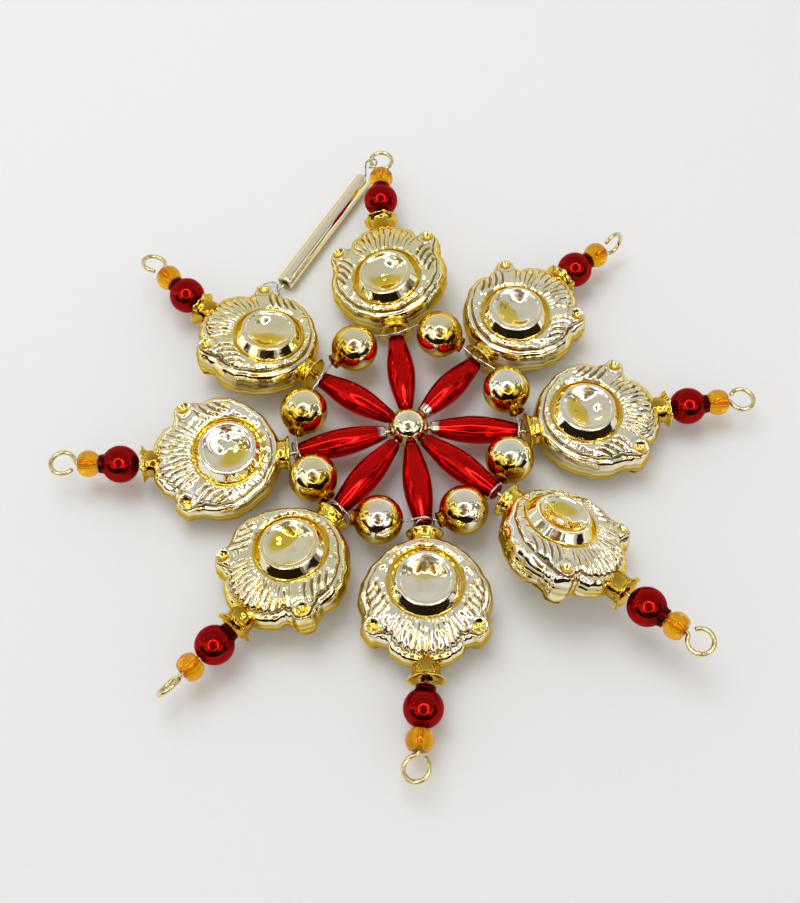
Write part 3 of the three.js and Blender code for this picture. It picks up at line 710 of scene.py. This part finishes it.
for number in arms:
    length = oval_lengths[number - 1]
    outside = [(share * length, oval_thickness(share)) for share in np.linspace(0, 1, 40)[1:-1]]
    oval = [
        (1.2, 0.56), (0.1, 0.58), (0.0, 0.7), (0.0, 1.02), *outside,
        (length - 0.06, oval_ends[1]), (length, 1.2), (length, 0.7), (length - 0.6, 0.58),
    ]
    distance = np.array([point[0] for point in oval])
    # Painted shade darkens both ends of each oval, the outer end most; it rides on the lacquer mark.
    outer_shade = 0.75 * step_between(distance / length, 0.8, 1.0)
    inner_shade = 0.55 * step_between(1 - distance / length, 0.82, 0.93)
    oval_end_shade = np.repeat(np.maximum(outer_shade, inner_shade)[:, None], oval_sides, 1)
    bare = step_between(bare_reach - distance, 0, 0.25) if number in bare_ovals else 0 * distance
    bare = np.repeat(bare[:, None], oval_sides, 1)
    mesh = grid_mesh(f"oval_{number}_glass", turned_rows(oval, oval_sides), lacquer=oval_end_shade, crease=bare)
    put(mesh, arm_frame(number, f"oval_bead_{number}"))
    piece = join_meshes(f"oval_{number}_glass", [mesh], red_glass)
    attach(piece, f"oval_bead_{number}")
    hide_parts(f"oval_bead_{number}")

# ---- Round red beads ----
# Small blown balls in the same red lacquer, one beyond each shell.
# Each has one short blown neck, where the lacquer has gathered almost black.

red_radius = 3.0
red_neck_reach = 3.35
red_ball_sides = 80
red_ball_depth = ([0, 2, 6, 12, 34, 42, 46, 52], [1, 0.9, 0.45, 0.1, 0.1, 0.6, 0.9, 1])
red_ball_glass = red_lacquer("red_ball_glass", (0.36, 0.002, 0.001), (0.05, 0.0, 0.0), 0.08)
red_ball = [
    (-2.0, 0.6), (-2.86, 0.62), *ball_profile(red_radius, -2.915, 2.5, 44),
    (2.64, 1.6), (3.0, 1.5), (3.28, 1.52), (red_neck_reach, 1.42), (red_neck_reach, 0.8), (3.1, 0.6),
    (2.4, 0.58),
]

for number in arms:
    marks = even_marks(red_ball, red_ball_sides, red_ball_depth)
    mesh = grid_mesh(f"red_ball_{number}_glass", turned_rows(red_ball, red_ball_sides), **marks)
    put(mesh, arm_frame(number, f"red_ball_{number}"))
    piece = join_meshes(f"red_ball_{number}_glass", [mesh], red_ball_glass)
    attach(piece, f"red_ball_{number}")
    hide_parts(f"red_ball_{number}")

# ---- Amber beads ----
# Amber glass seed beads, thick round a smooth hole, so the wire and the table show through them a little.
# One sits outside each round red bead and stops it.

amber_radius = 2.15
amber_half = 1.5
amber_hole = 0.6
amber_bulge = 0.86
amber_sides = 64

amber_glass = bpy.data.materials.new("amber_glass")
amber_glass.use_nodes = True
amber_tree = amber_glass.node_tree
amber_shader = amber_tree.nodes["Principled BSDF"]
amber_place = wire_up(amber_tree, "ShaderNodeTexCoord").outputs["Object"]
amber_cloud = wire_up(amber_tree, "ShaderNodeTexNoise", Vector=amber_place, Scale=350.0, Detail=2.0)
amber_cloud = amber_cloud.outputs["Fac"]
amber_spread = rise(amber_tree, amber_cloud, 0.3, 0.7)
amber_tint = blend_colour(amber_tree, amber_spread, (0.97, 0.52, 0.006, 1), (0.86, 0.36, 0.002, 1))
amber_tree.links.new(amber_tint, amber_shader.inputs["Base Color"])
amber_wave = wire_up(amber_tree, "ShaderNodeBump", Strength=0.12, Distance=0.0002, Height=amber_cloud)
amber_tree.links.new(amber_wave.outputs["Normal"], amber_shader.inputs["Normal"])
amber_shader.inputs["Transmission Weight"].default_value = 0.85
amber_shader.inputs["Specular Tint"].default_value = (1.0, 0.72, 0.25, 1)
amber_shader.inputs["IOR"].default_value = 1.5
amber_shader.inputs["Specular IOR Level"].default_value = 0.3
amber_shader.inputs["Roughness"].default_value = 0.02

bead = [
    (amber_half * math.sin(a) / math.sin(amber_bulge), amber_radius * math.cos(a) ** 0.9)
    for a in np.linspace(-amber_bulge, amber_bulge, 26)
]
bead += [
    (amber_half, 1.15), (amber_half * 0.97, 0.8), (amber_half * 0.85, amber_hole),
    (-amber_half * 0.85, amber_hole), (-amber_half * 0.97, 0.8), (-amber_half, 1.15),
]

for number in arms:
    mesh = grid_mesh(f"amber_{number}", turned_rows(bead, amber_sides), closed_rows=True)
    put(mesh, arm_frame(number, f"amber_bead_{number}"))
    piece = join_meshes(f"amber_{number}", [mesh], amber_glass)
    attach(piece, f"amber_bead_{number}")
    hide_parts(f"amber_bead_{number}")

# ---- Arm wires ----
# Soft brass-plated wire, 0.8 mm thick, run from the hub through the beads and curled with round pliers into
# an end loop. The end of the wire nearly meets the bead again, so nothing can slip off.

arm_wire_radius = 0.385
arm_wire_sides = 14
loop_radius = 1.93
loop_rolls = [0, 80, 0, 10, 15, 60, 0, 20]
knee_reach = 9.9
amber_to_loop = amber_half + 0.25 + loop_radius + 0.4


def drawn_metal(name, bright, dark, roughness):
    """Drawn wire, a little worn and dulled in places."""
    material = bpy.data.materials.new(name)
    material.use_nodes = True
    tree = material.node_tree
    shader = tree.nodes["Principled BSDF"]
    place = wire_up(tree, "ShaderNodeTexCoord").outputs["Object"]
    worn = wire_up(tree, "ShaderNodeTexNoise", Vector=place, Scale=900.0, Detail=4.0).outputs["Fac"]
    tint = blend_colour(tree, rise(tree, worn, 0.42, 0.75), (*bright, 1), (*dark, 1))
    tree.links.new(tint, shader.inputs["Base Color"])
    tree.links.new(calc(tree, "MULTIPLY_ADD", worn, 0.16, roughness), shader.inputs["Roughness"])
    drawn = wire_up(tree, "ShaderNodeBump", Strength=0.15, Distance=0.00005, Height=worn)
    tree.links.new(drawn.outputs["Normal"], shader.inputs["Normal"])
    shader.inputs["Metallic"].default_value = 1
    return material


def smooth_path(points, step):
    """A dense path through points, rounded at each by a Catmull-Rom curve."""
    points = [Vector(point) for point in points]
    padded = [2 * points[0] - points[1], *points, 2 * points[-1] - points[-2]]
    path = []
    for i in range(1, len(padded) - 2):
        before, start, end, after = padded[i - 1 : i + 3]
        cuts = max(1, round((end - start).length / step))
        linear = end - before
        square = 2 * before - 5 * start + 4 * end - after
        cube = 3 * start - before - 3 * end + after
        for k in range(cuts):
            t = k / cuts
            path.append(0.5 * (2 * start + linear * t + square * t * t + cube * t ** 3))
    path.append(points[-1])
    return path


def wire_mesh(name, path, radius, sides):
    """A round wire along a path, rounded off at both ends, whose rings don't twist."""
    path = [Vector(point) for point in path]
    first_cap = [(-0.6, 0.02), (-0.48, 0.7)]
    last_cap = [(0.48, 0.7), (0.6, 0.02)]
    rows = []
    normal = None
    for i, here in enumerate(path):
        tangent = (path[min(i + 1, len(path) - 1)] - path[max(i - 1, 0)]).normalized()
        if normal is None:
            normal = tangent.orthogonal().normalized()
        normal = (normal - normal.dot(tangent) * tangent).normalized()
        binormal = tangent.cross(normal)
        rings = [(0, 1)]
        if i == 0:
            rings = first_cap + rings
        if i == len(path) - 1:
            rings = rings + last_cap
        for along, size in rings:
            ring = []
            for turn in np.linspace(0, 2 * math.pi, sides, endpoint=False):
                out = math.cos(turn) * normal + math.sin(turn) * binormal
                ring.append(tuple(here + along * radius * tangent + radius * size * out))
            rows.append(ring)
    return grid_mesh(name, rows)


def arm_route(number):
    """Points of an arm wire from inside the hub, through the knee between oval and shell, to its loop."""
    arm_line = arm_frame(number, f"oval_bead_{number}").to_3x3() @ Vector((1, 0, 0))
    shell_at = arm_frame(number, f"shell_bead_{number}")
    shell_line = shell_at.to_3x3() @ Vector((1, 0, 0))
    tail_at = arm_frame(number, f"amber_bead_{number}")
    knee = shell_at.translation - knee_reach * shell_line
    neck = shell_at.translation + (collar_reaches[number - 1] + 0.2) * shell_line
    roll = math.radians(loop_rolls[number - 1])
    loop_start = amber_to_loop - loop_radius

    def on_tail(x, y):
        return tail_at @ Vector((x, y * math.cos(roll), y * math.sin(roll)))

    route = [
        hub_centre + 2.4 * arm_line, hub_centre + 8 * arm_line,
        knee - 1.2 * arm_line, knee + 1.2 * shell_line,
        shell_at.translation, neck - 1.5 * shell_line, on_tail(-7.6, 0), on_tail(-3, 0),
        on_tail(loop_start - 0.7, 0), on_tail(loop_start - 0.25, -0.06), on_tail(loop_start + 0.02, -0.34),
    ]
    for angle in np.radians(np.linspace(203, 502, 17)):
        route.append(on_tail(amber_to_loop + loop_radius * math.cos(angle), loop_radius * math.sin(angle)))
    return route


brass_wire = drawn_metal("brass_wire", (0.86, 0.75, 0.42), (0.62, 0.46, 0.18), 0.14)

for number in arms:
    path = smooth_path(arm_route(number), 0.35)
    mesh = wire_mesh(f"arm_{number}_brass", path, arm_wire_radius, arm_wire_sides)
    piece = join_meshes(f"arm_{number}_brass", [mesh], brass_wire)
    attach(piece, "wires")
    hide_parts(f"arm_wire_{number}")

# ---- Tie wire ----
# One fine silvered wire ties the star into a ring. It takes about one turn round an arm between the oval and
# the shell, crosses over itself on top and runs through the ball to the next arm. On the fourth arm it only
# passes over the top.

tie_radius = 0.16
tie_sides = 10
wrap_gap = 0.13
wrap_width = 0.6
cross_lift = 0.4
arm_starts = [3.4, 3.4, 3.6, 3.6, 3.4, 3.75, 3.75, 3.4]
silver_wire = drawn_metal("silvered_wire", (0.68, 0.68, 0.69), (0.32, 0.32, 0.33), 0.16)


def mouth_points(number):
    """Where the wire goes into a ring ball and comes out, on its way clockwise round the star."""
    place, line = seat(f"ring_ball_{number}")
    side = ring_neck_sides[number - 1]
    onward = side * line
    reach = ring_ball_radius + ring_neck_lengths[number - 1]
    entry = place - onward * (reach if side == -1 else ring_ball_radius)
    return entry, place + onward * (reach if side == 1 else ring_ball_radius)


def turns_round(number, start_angle, end_angle, entry, leave):
    """Points of the wire round one arm. They meet the wire from one ball and to the next without a kink."""
    arm_at = arm_frame(number, f"oval_bead_{number}")
    arm_at.translation = hub_centre
    start = arm_starts[number - 1]
    length = oval_lengths[number - 1]
    outer = start + length + 0.35
    inner = outer - wrap_width

    def wrap_radius(at):
        return oval_thickness(min(1, (at - tie_radius - start) / length)) + wrap_gap + tie_radius

    def touch(mouth, side):
        local = arm_at.inverted() @ mouth
        lean = math.acos(min(1, wrap_radius(inner) / math.hypot(local.y, local.z)))
        return math.atan2(local.z, local.y) + side * lean

    first = touch(entry, 1) if entry else math.radians(start_angle)
    last = touch(leave, -1) + 2 * math.pi if leave else math.radians(end_angle)
    points = []
    for angle in np.linspace(first, last, max(4, round((last - first) / math.radians(15)))):
        out = float(step_between(angle, first, first + math.radians(100))) if entry else 1
        back = float(step_between(angle, last - math.radians(100), last)) if leave else 0
        at = inner + wrap_width * (out - back)
        lift = cross_lift * float(step_between(angle, 2 * math.pi, 2 * math.pi + math.radians(60)))
        size = wrap_radius(at) + lift
        points.append(arm_at @ Vector((at, size * math.cos(angle), size * math.sin(angle))))
    return points


tie_route = []
for number in arms:
    arriving = mouth_points(number - 1)[1] if number > 1 else None
    entry, leave = mouth_points(number)
    tie_route += turns_round(number, 215, 0, arriving, entry)
    tie_route += [entry, leave]
tie_route += turns_round(1, 0, 170, mouth_points(8)[1], None)
tie = join_meshes("tie_silver", [wire_mesh("tie_silver", tie_route, tie_radius, tie_sides)], silver_wire)
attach(tie, "wires")
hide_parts("tie_wire")

# ---- Hanger wire ----
# A fine silvered wire hooked through the end loop of the first arm. It runs through the bugle bead and is
# bent into a small hanging loop behind it.

hanger_radius = 0.175
hanger_sides = 12
eye_bearing = math.radians(198)
hanging_radius = 1.85
hanging_turn = math.radians(-42)
bugle_rest = 1.6
bugle_length = 27.7
loop_middle = arm_frame(1, "amber_bead_1") @ Vector((amber_to_loop, 0, 0))
bugle_start, bugle_line = seat("bugle")
bugle_end = bugle_start + bugle_length * bugle_line
eye_way = Vector((math.cos(eye_bearing), math.sin(eye_bearing), 0))
eye_middle = loop_middle + loop_radius * eye_way
eye_size = 0.4 + hanger_radius + 0.5
hanger_route = []
for angle in np.radians(np.linspace(295, 0, 22)):
    across = eye_size * math.cos(angle)
    hanger_route.append(eye_middle + across * eye_way + Vector((0, 0, eye_size * math.sin(angle))))
eye_foot = hanger_route[-1]
drop = eye_foot.z - bugle_start.z
hanger_route += [
    Vector((eye_foot.x - 0.05, eye_foot.y + 0.35, bugle_start.z + 0.6 * drop)),
    Vector((eye_foot.x - 0.1, eye_foot.y + 0.5, bugle_start.z + 0.25 * drop)),
    bugle_start - 0.75 * bugle_line + Vector((0, 0, 0.35)),
    bugle_start - 0.35 * bugle_line,
    bugle_start + 3 * bugle_line,
    bugle_end + 0.35 * bugle_line,
]
hanging_line = Matrix.Rotation(hanging_turn, 3, "Z") @ bugle_line
hanging_side = Vector((-hanging_line.y, hanging_line.x, 0))
hanging_middle = bugle_end + (1.15 + hanging_radius) * hanging_line
for i, angle in enumerate(np.radians(np.linspace(195, 515, 24))):
    turn = math.cos(angle) * hanging_line + math.sin(angle) * hanging_side
    point = hanging_middle + hanging_radius * turn
    point.z = bugle_start.z + (2 * hanger_radius - bugle_rest) * min(1, (i / 2.1 + 2) / 6)
    hanger_route.append(point)
hanger_mesh = wire_mesh("hanger_silver", smooth_path(hanger_route, 0.3), hanger_radius, hanger_sides)
hanger = join_meshes("hanger_silver", [hanger_mesh], silver_wire)
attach(hanger, "hanger")
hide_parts("hanger_wire")

# ---- Bugle bead ----
# A long glass tube with a silvered bore and a cream cast.
# It is cut off straight at both ends, and lies loose on the hanger wire.

tube_radius = 1.5
tube_sides = 64
cream_glass = mirrored_glass(
    "cream_tube_glass", (1.0, 0.96, 0.76), (0.94, 0.82, 0.42), (0.7, 0.5, 0.16), 0.1, 200, 0.5
)
tube_end = [(0.5, 0.6), (0.02, 0.62), (0.0, 0.8), (0.0, 1.38), (0.08, 1.47), (0.3, tube_radius)]
tube = [
    *tube_end,
    *[(bugle_length * share, tube_radius) for share in np.linspace(0.05, 0.95, 12)],
    *[(bugle_length - along, radius) for along, radius in reversed(tube_end)],
]
marks = even_marks(tube, tube_sides, 0.1)
# Painted shade darkens the mouth of the bore at both cut ends.
marks["crease"][:3] = 0.9
marks["crease"][-3:] = 0.9
tube_mesh = grid_mesh("bugle_glass", turned_rows(tube, tube_sides), **marks)
up = Vector((0, 0, 1))
tube_turn = Matrix((bugle_line, up.cross(bugle_line), up)).transposed().to_4x4()
put(tube_mesh, Matrix.Translation(bugle_start) @ tube_turn)
bugle = join_meshes("bugle_glass", [tube_mesh], cream_glass)
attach(bugle, "bugle")
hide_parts("bugle_bead")

# ---- Colour view ----
# Colours are shown with the plain Standard view.

scene.view_settings.view_transform = "Standard"
